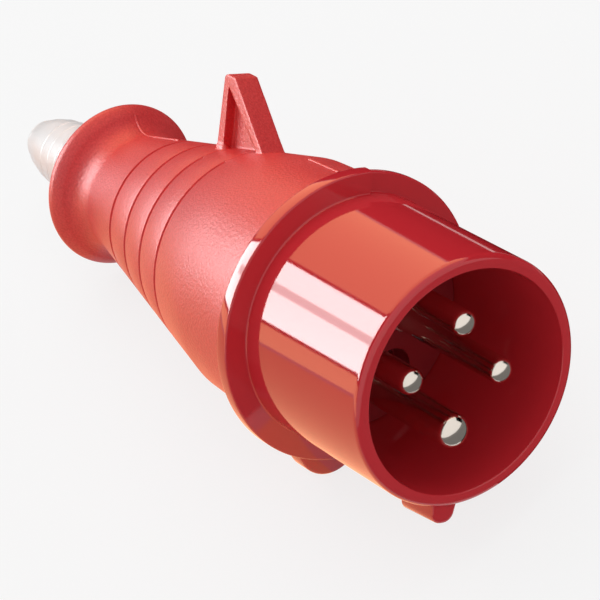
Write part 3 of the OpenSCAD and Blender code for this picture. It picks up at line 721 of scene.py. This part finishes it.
# ---------------------------------------------------------------- handle
class PLUG_OT_handle(bpy.types.Operator):
    """Builds the textured handle with its grooves, flare, fin, parting line and half of the lug"""
    bl_idname = "plug.handle"
    bl_label = "Handle"

    def execute(self, context):
        h = settings().handle
        bm = bmesh.new()
        turned_mesh(bm, self.outline(h), count=240)
        turned = standing("handle_turned", bm)
        socket = self.cutter("lug_socket", LUG_REACH, 8.7 * MM, 45.0 * MM, LUG_SPLIT)
        socketed = add_object("handle_socketed", cut(turned, socket))
        recess = self.cutter("head_recess", SCREW_REACH, 3.8 * MM, 59.0 * MM, 70.0 * MM)
        lug = self.lug(h)
        parts = [cut(socketed, recess), cut(lug, recess), self.fin(h), *self.seams(h)]
        discard(turned, socket, socketed, recess, lug)
        bm = bmesh.new()
        for part in parts:
            bm.from_mesh(part)
        shell = set_down("handle_shell", mesh_of("handle_shell", bm))
        piece(shell, "handle_body", "handle_matt")
        return {"FINISHED"}

    def outline(self, h):
        """The closed outline of the handle's wall: its outer side, then its hollow."""
        back, end = settings().shroud.collar_back, flare_end(h)
        outer = [(h.front, back), (h.barrel, cone_start(h))]
        for i in range(h.grooves):
            middle = cone_start(h) + h.first_groove + i * h.groove_pitch
            for shift, sunk in ((-0.5, 0), (-0.2, 1), (0.2, 1), (0.5, 0)):
                depth = middle + shift * h.groove_width
                outer.append((cone_radius(h, depth) - sunk * h.groove_depth, depth))
        outer = soften(outer, 0.16 * MM, 2, closed=False) + flare_arc(h)
        outer += arc((h.lip - LIP_ROUND, end - LIP_ROUND), LIP_ROUND, -45, 90, 12)
        passage, pocket, bell, nest, nest_length = 10.8 * MM, 12.4 * MM, 5.8 * MM, 28.2 * MM, 13.5 * MM
        pocket_back, pocket_front = end - SEAL_POCKET_DEPTH, end - 33.8 * MM
        hall = h.barrel - h.wall
        inner = [(passage + bell, end)] + arc((passage + bell, end - bell), bell, 90, 180, 10)[1:]
        inner += [(passage, pocket_back), (pocket, pocket_back), (pocket, pocket_front),
                  (cone_radius(h, pocket_front) - h.wall, pocket_front), (hall, cone_start(h)),
                  (hall, back + nest_length), (nest, back + nest_length), (nest, back)]
        return outer + inner

    def seams(self, h):
        """The raised parting line at twelve o'clock, along the barrel and along the tail."""
        back = settings().shroud.collar_back
        sunk = h.seam_width / 2 - h.seam_height
        barrel = []
        for depth in (back + 9 * MM, cone_start(h) - 2.5 * MM):
            fall = (h.front - h.barrel) * (depth - back) / h.barrel_length
            barrel.append((h.front - fall - sunk, depth))
        tail_start = flare_centre(h) - 14.4 * MM
        tail = [(cone_radius(h, tail_start) - sunk, tail_start)] + flare_arc(h, sunk)
        tree = seam_tree()
        values = {"Width": h.seam_width, "Material": finishes()["handle_matt"]}
        return [grown(tree, values, [(radius, 0, depth) for radius, depth in path]) for path in (barrel, tail)]

    def cutter(self, name, reach, radius, start, end):
        """A cylinder at six o'clock along the plug."""
        sides = 64
        circle = [(-reach + radius * math.cos(TURN * k / sides), radius * math.sin(TURN * k / sides))
                  for k in range(sides)]
        bm = bmesh.new()
        lofted(bm, [[(x, y, depth) for x, y in circle] for depth in (start, end)])
        obj = standing(name, bm)
        obj.hide_render = True
        return obj

    def lug(self, h):
        """The handle's half of the screw lug, which tapers into the barrel."""
        bend, end, edge, clear = 56.0 * MM, 64.0 * MM, 0.7 * MM, 28.4 * MM
        full, tip, break_edge, soft = h.lug_radius, h.lug_tip, 0.1 * MM, 0.8 * MM
        stations = [(LUG_SPLIT, full - break_edge), (LUG_SPLIT + break_edge, full),
                    (bend - soft, full), (bend, full - 0.12 * MM), (bend + soft, full - 0.32 * MM),
                    (end - edge, tip + (full - tip) * edge / (end - bend))]
        for k in range(1, ROUNDING_STEPS + 1):
            along, inset = rounding(edge, k)
            stations.append((end - inset, tip + 0.17 * MM - along))
        bm = bmesh.new()
        lofted(bm, [lug_loop(radius, depth, clear) for depth, radius in stations])
        return standing("handle_lug", bm)

    def fin(self, h):
        """The fin with its two recesses, melted into the cone with small fillets."""
        start = cone_start(h)
        toe, nose, back = (start + reach * MM for reach in (10.8, 26.0, 30.3))
        hollow_front, hollow_back = start + 14.5 * MM, start + 27.6 * MM
        corner, sunk, rise = 1.2 * MM, 1.6 * MM, 0.3 * MM
        top, toe_height = h.fin_top, cone_radius(h, toe) - 1 * MM
        slope = math.atan((top - toe_height) / (nose - toe))
        nose_centre = (top - corner, nose + corner * math.tan(slope / 2))
        nose_arc = arc(nose_centre, corner, -math.degrees(slope), 0, 4)
        back_arc = arc((top - corner, back - corner), corner, 0, 90, 4)
        root_back = (cone_radius(h, back) - sunk, back)
        toe_root = (toe_height - sunk, toe)
        peak = (top - 2.7 * MM, hollow_back + 0.6 * MM)
        knee = (cone_radius(h, hollow_front) + rise, hollow_front)
        knee_root = (cone_radius(h, hollow_front) - sunk, hollow_front)
        heel = (cone_radius(h, hollow_back) + rise, hollow_back)
        front_bar = [(toe_height, toe)] + nose_arc + [peak, knee, knee_root, toe_root]
        rear_bar = [peak, nose_arc[-1]] + back_arc + [root_back, (root_back[0], hollow_back - 0.2 * MM), heel]
        web = [(toe_height, toe)] + nose_arc + back_arc + [root_back, toe_root]
        bm = bmesh.new()
        for outline, width in ((front_bar, h.fin_width), (rear_bar, h.fin_width), (web, h.fin_web)):
            lofted(bm, [[(height, side * width / 2, depth) for height, depth in outline] for side in (-1, 1)])
        self.feet(bm, h, back, hollow_back)
        self.cone_patch(bm, h, toe - 3 * MM, back + 3 * MM)
        block = standing("fin_block", bm)
        remesh = block.modifiers.new("Melt", "REMESH")
        remesh.mode = "VOXEL"
        remesh.voxel_size = 0.24 * MM
        remesh.adaptivity = 0.0
        blur = block.modifiers.new("Fillets", "SMOOTH")
        blur.factor, blur.iterations = 0.5, 7
        mesh = evaluated_mesh(block)
        discard(block)
        return mesh

    def feet(self, bm, h, back, hollow_back):
        """The small round foot on each side at the rear of the fin."""
        foot, sides = 1.1 * MM, 24
        height = cone_radius(h, back - 1.35 * MM) + foot / 5
        shape = ((-0.95, 0.35), (-0.7, 0.75), (-0.3, 1.0), (0.0, 1.1), (2.3, 1.1), (2.4, 0.9))
        for side in (-1, 1):
            middle = side * (h.fin_width - foot) / 2
            lofted(bm, [[(height + r * MM * math.cos(TURN * k / sides), middle + r * MM * math.sin(TURN * k / sides),
                          hollow_back + depth * MM) for k in range(sides)] for depth, r in shape])

    def cone_patch(self, bm, h, start, end):
        """A patch of the cone's wall just under its surface, which the fin grows from."""
        below, thick, half_angle = 0.10 * MM, 2.0 * MM, 22
        rows, columns = 24, 30
        layers = []
        for drop in (below, below + thick):
            layer = []
            for i in range(rows + 1):
                depth = start + (end - start) * i / rows
                radius = cone_radius(h, depth) - drop
                across = (math.radians(half_angle * (2 * j / columns - 1)) for j in range(columns + 1))
                layer.append([bm.verts.new((radius * math.cos(a), radius * math.sin(a), depth)) for a in across])
            layers.append(layer)
        outer, inner = layers
        for grid in layers:
            for i in range(rows):
                for j in range(columns):
                    bm.faces.new([grid[i][j], grid[i][j + 1], grid[i + 1][j + 1], grid[i + 1][j]])
        for i in range(rows):
            for j in (0, columns):
                bm.faces.new([outer[i][j], outer[i + 1][j], inner[i + 1][j], inner[i][j]])
        for j in range(columns):
            for i in (0, rows):
                bm.faces.new([outer[i][j], outer[i][j + 1], inner[i][j + 1], inner[i][j]])


# ---------------------------------------------------------------- pins, sleeve and inner parts
class PLUG_OT_pins(bpy.types.Operator):
    """Builds the plated pins with their domed tips"""
    bl_idname = "plug.pins"
    bl_label = "Pins"

    def execute(self, context):
        p = settings().pins
        for node, clock in (("phase_pin_top", TOP), ("phase_pin_right", RIGHT), ("phase_pin_left", LEFT)):
            self.pin(p, node, clock, p.phase, p.phase_tip)
        self.pin(p, "earth_pin", BOTTOM, p.earth, p.earth_tip)
        return {"FINISHED"}

    def pin(self, p, node, clock, r, tip):
        """One pin: dome, shank, trapped flange and terminal barrel with its wire bore."""
        seat, flange, barrel = r + 0.4 * MM, r + 2.4 * MM, r + 1.5 * MM
        flange_front, end = CARRIER_BACK - 3 * MM, CARRIER_BACK + 16 * MM
        chamfer, bore, bore_end = 0.5 * MM, barrel * 0.52, end - 12 * MM
        dome = [math.radians(a) for a in range(0, 91, 5)]
        outline = [(r * math.sin(a), tip + r * p.dome * (1 - math.cos(a))) for a in dome]
        body = [(r, FACE_DEPTH), (seat, FACE_DEPTH), (seat, flange_front), (flange, flange_front),
                (flange, CARRIER_BACK), (barrel, CARRIER_BACK), (barrel, end - chamfer), (barrel - chamfer, end),
                (bore, end), (bore, bore_end)]
        outline += soften(body, 0.12 * MM, 2, closed=False) + [(0.0, bore_end)]
        bm = bmesh.new()
        turned_mesh(bm, outline, count=96)
        bmesh.ops.translate(bm, verts=bm.verts, vec=plug_point(p.circle, clock, 0))
        piece(finished(node + "_turned", bm), node, "plated_brass")


class PLUG_OT_sleeve(bpy.types.Operator):
    """Builds the white cable sleeve with its fine ribs"""
    bl_idname = "plug.sleeve"
    bl_label = "Cable sleeve"

    def execute(self, context):
        s, end = settings().sleeve, flare_end(settings().handle)
        tip, shoulder = end + s.out, end + 2 * MM
        knee, knee_r = tip - 9.5 * MM, s.tip + 2.7 * MM
        bm = bmesh.new()
        turned_mesh(bm, self.outline(s, end, tip, shoulder, knee, knee_r), count=128)
        first, fall = shoulder + 1.5 * MM, (s.radius - knee_r) / (knee - shoulder)
        radius = s.radius - fall * (first - shoulder) - s.rib_sunk
        bm.from_mesh(grown(ribs_tree(), {
            "Count": s.ribs, "Start": first, "Pitch": s.rib_pitch, "Radius": radius,
            "Shrink": fall * s.rib_pitch / radius, "Rib size": s.rib_size,
            "Material": finishes()["white_sleeve"]}))
        piece(finished("cable_sleeve_moulding", bm), "cable_sleeve", "white_sleeve")
        return {"FINISHED"}

    def outline(self, s, end, tip, shoulder, knee, knee_r):
        """The sleeve's closed outline: its flange in the handle, its taper, its tip and its bore."""
        flange, tip_round = 12.1 * MM, 1.2 * MM
        pocket_back, seal_back = end - SEAL_POCKET_DEPTH, end - 19.3 * MM
        side = [(s.radius, pocket_back), (s.radius, shoulder), (knee_r, knee), (s.tip + 1.5 * MM, tip - 5 * MM)]
        side += arc((s.tip - tip_round, tip - tip_round), tip_round, 0, 90, 8)
        inner = [(s.entry, tip), (s.entry, tip - 6.5 * MM), (knee_r - s.wall - 0.4 * MM, knee - 2 * MM),
                 (s.radius - s.wall, shoulder), (s.radius - s.wall, seal_back)]
        return soften([(flange, seal_back), (flange, pocket_back)] + side + inner, 0.8 * MM, 5)


class PLUG_OT_inner_parts(bpy.types.Operator):
    """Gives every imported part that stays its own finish"""
    bl_idname = "plug.inner_parts"
    bl_label = "Inner parts"

    def execute(self, context):
        table = finishes()
        slots = {part["node"]: part["material_slot"] for part in frame["record"]["subparts"]}
        for node, obj in frame["nodes"].items():
            if not obj.hide_render:
                for entry in obj.material_slots:
                    entry.material = table[slots[node]]
        return {"FINISHED"}


# ---------------------------------------------------------------- studio
WHITE = (1, 1, 1)
X_AXIS, Y_AXIS, Z_AXIS = Vector((1, 0, 0)), Vector((0, 1, 0)), Vector((0, 0, 1))


def card(name, centre, along, across, size, strength, colour=WHITE, seen_by="gloss"):
    """A flat panel that gives or holds back light, seen by the gloss or by matt surfaces only."""
    along, across = along.normalized() * size[0] / 2, across.normalized() * size[1] / 2
    corners = [centre + along * a + across * b for a, b in ((-1, -1), (1, -1), (1, 1), (-1, 1))]
    mesh = bpy.data.meshes.new(name)
    mesh.from_pydata(corners, [], [(0, 1, 2, 3)])
    material = bpy.data.materials.new(name)
    n = empty_nodes(material)
    light = n.add("ShaderNodeEmission", {"Color": (*colour, 1), "Strength": strength})
    n.add("ShaderNodeOutputMaterial", {"Surface": light.outputs[0]})
    mesh.materials.append(material)
    obj = add_object(name, mesh)
    obj.visible_camera = False
    obj.visible_diffuse = seen_by != "gloss"
    obj.visible_glossy = seen_by != "matt"
    obj.visible_shadow = False


def axis_panel(name, clocks, distance, ahead, strength, colour=WHITE, seen_by="gloss"):
    """A panel along the plug's axis, between two clock angles and two lengths ahead of the rim."""
    middle = sum(clocks) / 2
    half = math.radians(abs(clocks[1] - clocks[0]) / 2)
    along = PLUG.to_3x3() @ plug_point(0, 0, -1)
    across = PLUG.to_3x3() @ plug_point(1, middle + 90, 0)
    centre = PLUG @ plug_point(distance, middle, -sum(ahead) / 2)
    size = (ahead[1] - ahead[0], 2 * distance * math.tan(half))
    card(name, centre, along, across, size, strength, colour, seen_by)


def floor_card(name, x_span, y_span, strength, colour=WHITE, rise=0.4 * MM):
    """A panel lying just above the floor, which only the gloss shows."""
    centre = Vector((sum(x_span) / 2, sum(y_span) / 2, rise))
    card(name, centre, X_AXIS, Y_AXIS, (x_span[1] - x_span[0], y_span[1] - y_span[0]), strength, colour)


class PLUG_OT_studio(bpy.types.Operator):
    """Sets up the camera, the pale floor, the soft panels and the white surroundings"""
    bl_idname = "plug.studio"
    bl_label = "Studio"

    def execute(self, context):
        s = settings().studio
        self.camera(context.scene, s)
        self.floor()
        self.world(context.scene, s)
        self.panels(s)
        context.scene.view_settings.view_transform = "Standard"
        return {"FINISHED"}

    def camera(self, scene, s):
        """Places the camera, whose settings are given ahead of the rim, right and above the axis."""
        data = bpy.data.cameras.new("Camera")
        data.lens, data.sensor_width = s.lens, 36.0
        data.clip_start, data.clip_end = 0.01, 50.0
        camera = bpy.data.objects.new("Camera", data)
        scene.collection.objects.link(camera)
        to_standing = Matrix(((0, 0, 1, 0), (0, 1, 0, 0), (-1, 0, 0, 0), (0, 0, 0, 1)))
        to_row = PLUG @ to_standing
        turn = to_row.to_3x3()
        down, looks = (turn @ Vector(s.down)).normalized(), (turn @ Vector(s.looks)).normalized()
        right = down.cross(looks).normalized()
        basis = Matrix((right, -down, -looks)).transposed()
        camera.matrix_world = Matrix.Translation(to_row @ Vector(s.camera)) @ basis.to_4x4()
        scene.camera = camera

    def floor(self):
        """A pale floor that shows the shadow and otherwise melts into the white surroundings."""
        half, pale, whiteness = 6.0, (0.8, 0.8, 0.8, 1), 0.8
        mesh = bpy.data.meshes.new("Floor")
        mesh.from_pydata([(-half, -half, 0), (half, -half, 0), (half, half, 0), (-half, half, 0)], [], [(0, 1, 2, 3)])
        material = bpy.data.materials.new("Pale floor")
        n = empty_nodes(material)
        matt = n.add("ShaderNodeBsdfDiffuse", {"Color": pale})
        white = n.add("ShaderNodeEmission", {"Color": (*WHITE, 1), "Strength": 1.0})
        share = n.math("MULTIPLY", n.sees_white(), whiteness)
        both = n.add("ShaderNodeMixShader", {0: share, 1: matt.outputs[0], 2: white.outputs[0]})
        n.add("ShaderNodeOutputMaterial", {"Surface": both.outputs[0]})
        mesh.materials.append(material)
        add_object("Floor", mesh)

    def world(self, scene, s):
        """White surroundings for the rays that see them, and a softer level for matt surfaces."""
        scene.world = bpy.data.worlds.new("White surroundings")
        n = empty_nodes(scene.world)
        strength = n.math("ADD", n.math("MULTIPLY", n.sees_white(), 1.0 - s.fill), s.fill)
        light = n.add("ShaderNodeBackground", {"Color": (*WHITE, 1), "Strength": strength})
        n.add("ShaderNodeOutputWorld", {"Surface": light.outputs[0]})

    def panels(self, s):
        """The bright strip, the warm panels beside it, dark boards, and soft lights for matt surfaces."""
        warm, black = tuple(s.warm), 0.0
        reach = (-2.2, -0.3)
        axis_panel("Bright_strip", (-49, -100), 1.2, reach, s.window)
        axis_panel("Window_streak", (-68, -75), 1.18, (-1.46, -0.3), 0.5 * s.window)
        axis_panel("Top_panel", (-46, 23), 1.3, (-2.4, 0.1), s.tent, warm)
        axis_panel("Left_panel", (-103, -128), 1.3, (-2.4, 0.1), 1.2 * s.tent, warm)
        axis_panel("Strip_surround", (-35, -115), 2.0, (-4.0, 0.5), black)
        axis_panel("Back_board", (25, 60), 1.6, (-3.0, 1.0), black)
        floor_card("Near_board", (-0.60, 0.40), (0.000, 0.138), black)
        floor_card("Far_board", (-4.00, 2.00), (0.162, 3.200), black)
        floor_card("Left_board", (-0.60, 0.09), (-0.600, -0.020), 0.5 * s.tent, warm)
        floor_card("Front_board", (0.10, 1.60), (-0.350, 1.200), 0.2, rise=0.6 * MM)
        axis_panel("Soft_left", (-150, -95), 1.4, (-1.2, 0.3), 0.3 * s.soft, seen_by="matt")
        axis_panel("Soft_top", (-60, 10), 1.4, (-1.2, 0.3), s.soft, seen_by="matt")
        self.soft_front(s)

    def soft_front(self, s):
        """A soft light ahead of the plug on its left, which reaches into the well."""
        toward = PLUG.to_3x3() @ plug_point(1, -60, -1.2)
        aside = Z_AXIS.cross(toward)
        centre = PLUG @ plug_point(0.87, -60, -0.9)
        card("Soft_front", centre, aside, toward.cross(aside), (0.8, 0.8), 0.5 * s.soft, seen_by="matt")


# ---------------------------------------------------------------- panel and start
STEPS = ("shroud", "handle", "pins", "sleeve", "inner_parts", "studio")


class PLUG_PT_sidebar(bpy.types.Panel):
    """Lists the steps that build the plug"""
    bl_idname = "PLUG_PT_sidebar"
    bl_label = "Pin and sleeve plug"
    bl_space_type = "VIEW_3D"
    bl_region_type = "UI"
    bl_category = "Plug"

    def draw(self, context):
        for step in STEPS:
            self.layout.operator("plug." + step)


CLASSES = (PLUG_PG_shroud, PLUG_PG_handle, PLUG_PG_sleeve, PLUG_PG_pins, PLUG_PG_studio, PLUG_PG_all,
           PLUG_OT_shroud, PLUG_OT_handle, PLUG_OT_pins, PLUG_OT_sleeve, PLUG_OT_inner_parts, PLUG_OT_studio,
           PLUG_PT_sidebar)


def register():
    for cls in CLASSES:
        bpy.utils.register_class(cls)
    bpy.types.Scene.plug = PointerProperty(type=PLUG_PG_all)


def unregister():
    del bpy.types.Scene.plug
    for cls in reversed(CLASSES):
        bpy.utils.unregister_class(cls)


def main():
    register()
    for step in STEPS:
        getattr(bpy.ops.plug, step)()


if __name__ == "__main__":
    main()
